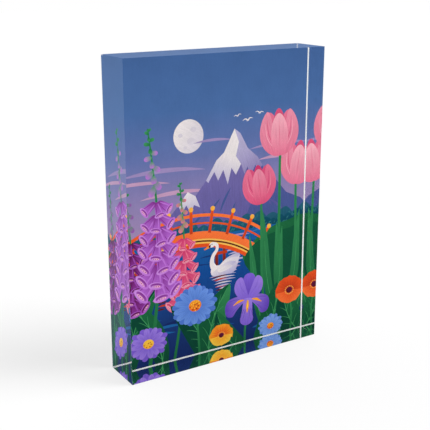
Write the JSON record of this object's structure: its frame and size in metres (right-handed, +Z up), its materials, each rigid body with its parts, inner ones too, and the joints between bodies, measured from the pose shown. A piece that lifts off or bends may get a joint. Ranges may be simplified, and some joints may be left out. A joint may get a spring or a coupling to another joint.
{
  "type": "acrylic block frame",
  "caption": "Free-standing clear acrylic block, portrait format, with a picture print bonded face-forward to its back and sealed by a thin backing sheet.",
  "frame": {"origin": "centre of the footprint, on the surface that the block stands on", "axes": "+Z up; the picture faces -Y, towards the viewer; +X to the viewer's right"},
  "size_m": [0.127, 0.026, 0.1778],
  "materials": {
    "clear_acrylic": "polished",
    "clear_film": "gloss",
    "picture": "matte",
    "clear_glue": "satin",
    "white_backing": "satin"
  },
  "bodies": {
    "root": {"acrylic_block": "clear_acrylic", "mounting_film": "clear_film", "picture_print": "picture", "backing_glue": "clear_glue", "backing_sheet": "white_backing"}
  },
  "joints": []
}
